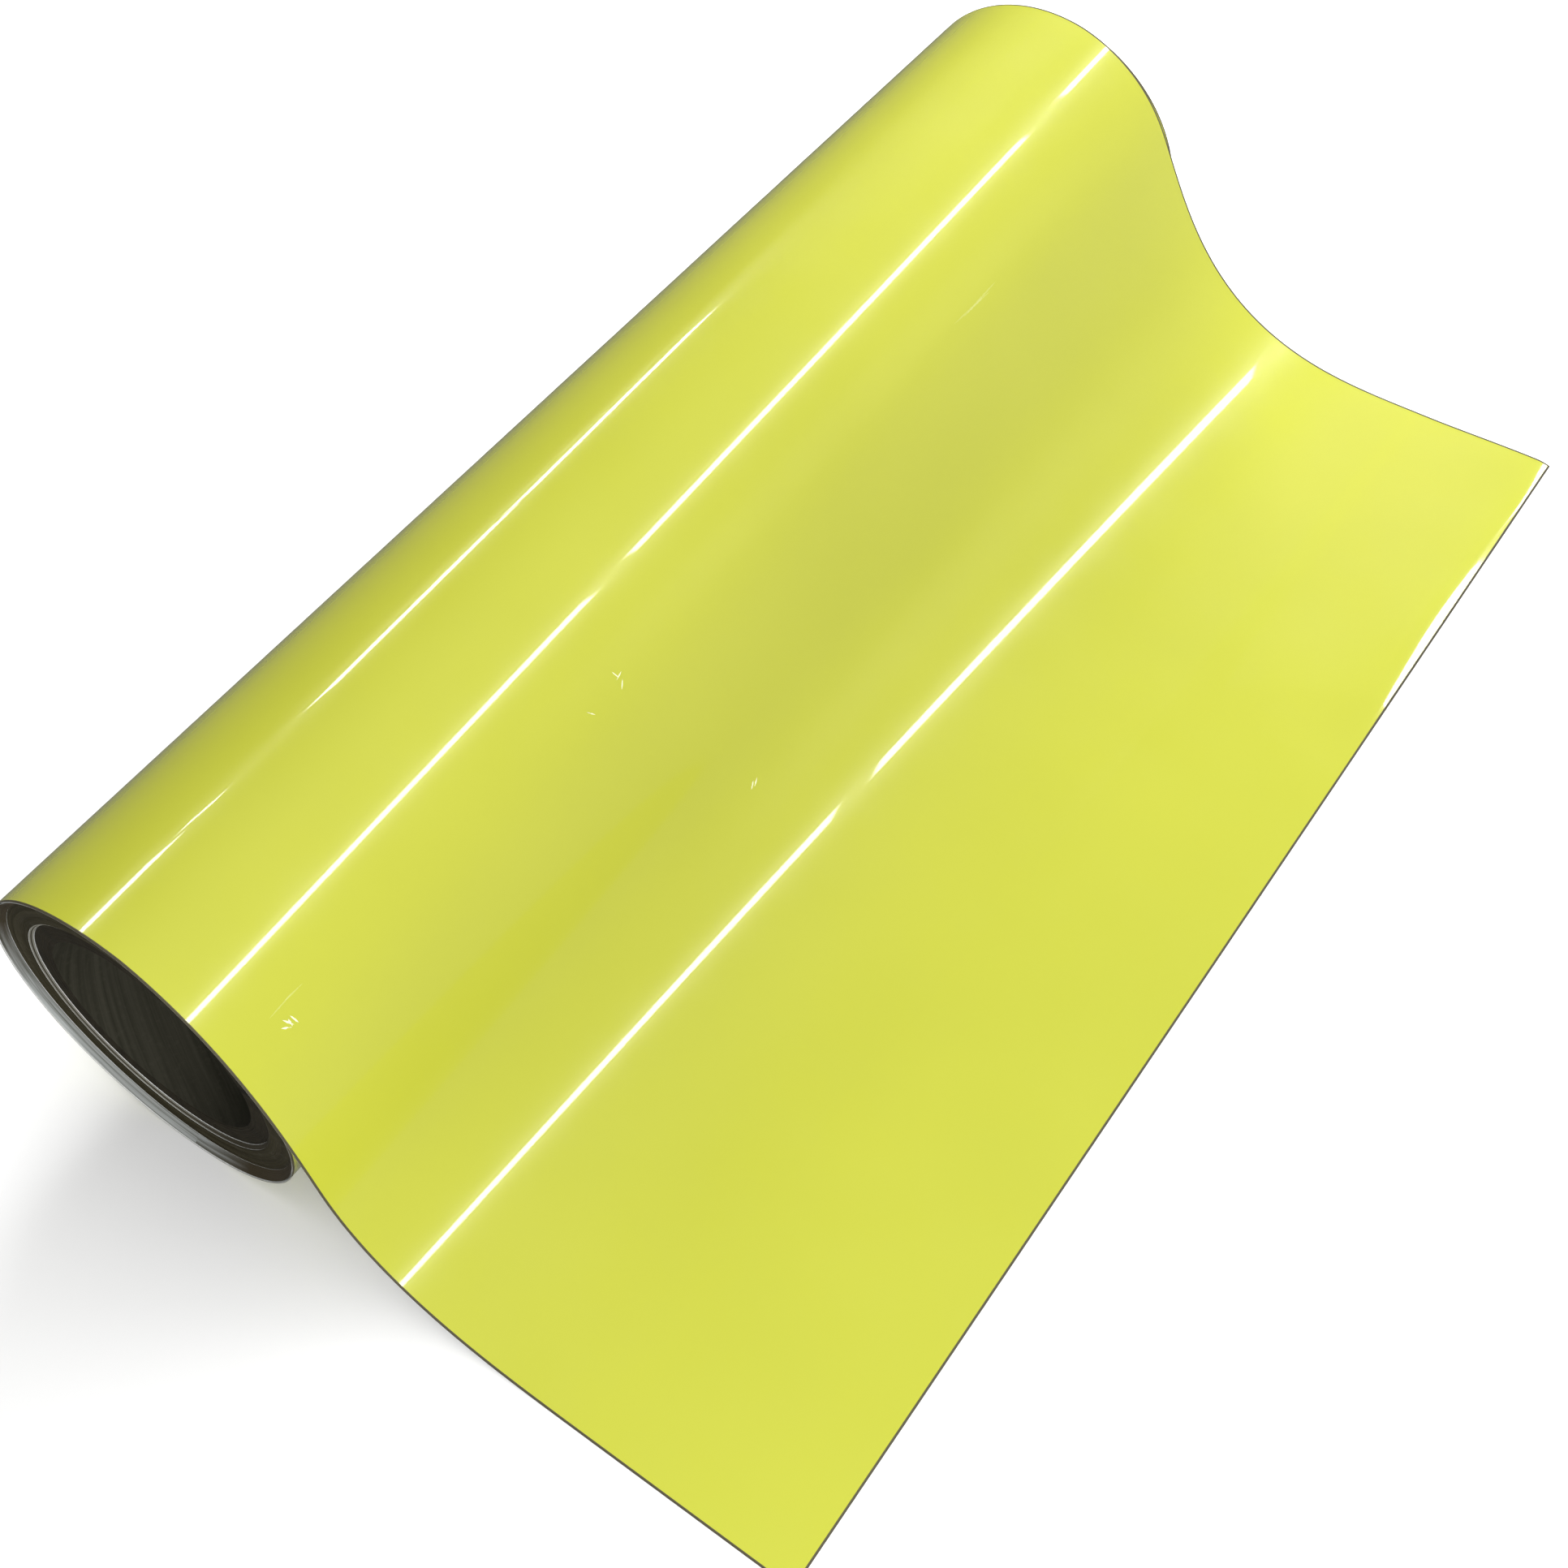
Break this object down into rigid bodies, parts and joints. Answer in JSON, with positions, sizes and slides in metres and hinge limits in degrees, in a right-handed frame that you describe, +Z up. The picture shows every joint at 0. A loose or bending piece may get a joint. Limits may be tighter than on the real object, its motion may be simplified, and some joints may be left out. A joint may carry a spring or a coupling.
{
  "type": "sign vinyl roll",
  "caption": "Roll of gloss self-adhesive film on a board core, its outer end drawn off the top and laid flat beside the roll.",
  "frame": {"origin": "middle of the core's bore, on its axis", "axes": "+Y along the core's axis, towards the end that the outer wraps have slipped away from; +Z up; +X from the roll towards the sheet's free end"},
  "size_m": [0.2908, 0.5115, 0.1158],
  "materials": {
    "film": "high gloss yellow-green calendered vinyl",
    "adhesive": "clear pressure-sensitive coat",
    "liner": "siliconised paper, slightly glossy",
    "wound_web": "edges of the wound layers",
    "core_board": "spiral-wound board, cut end",
    "core_ply": "smooth paper ply with spiral seams",
    "tape": "matt adhesive tape"
  },
  "bodies": {
    "web": {"wrap_film": "film", "wrap_adhesive": "adhesive", "wrap_liner": "liner", "bend_film": "film", "bend_adhesive": "adhesive", "bend_liner": "liner"},
    "roll": {"core_inner_ply": "core_ply", "core_body": "core_board", "core_outer_ply": "core_ply", "starter_tape": "tape", "start_wraps": "wound_web", "wound_pack": "wound_web", "slipped_wraps": "wound_web"},
    "free_sheet": {"flat_film": "film", "flat_adhesive": "adhesive", "flat_liner": "liner"}
  },
  "joints": [
    {"name": "sheet_feed", "type": "slide", "parent": "web", "child": "free_sheet", "axis": [1, 0, 0], "range_m": [0, 0.3638]},
    {"name": "roll_spin", "type": "hinge", "parent": "web", "child": "roll", "pos_m": [0, 0, 0], "axis": [0, 1, 0], "continuous": true}
  ],
  "couplings": [
    {"joint": "roll_spin", "follows": "sheet_feed", "rad_per_m": 17.271}
  ]
}
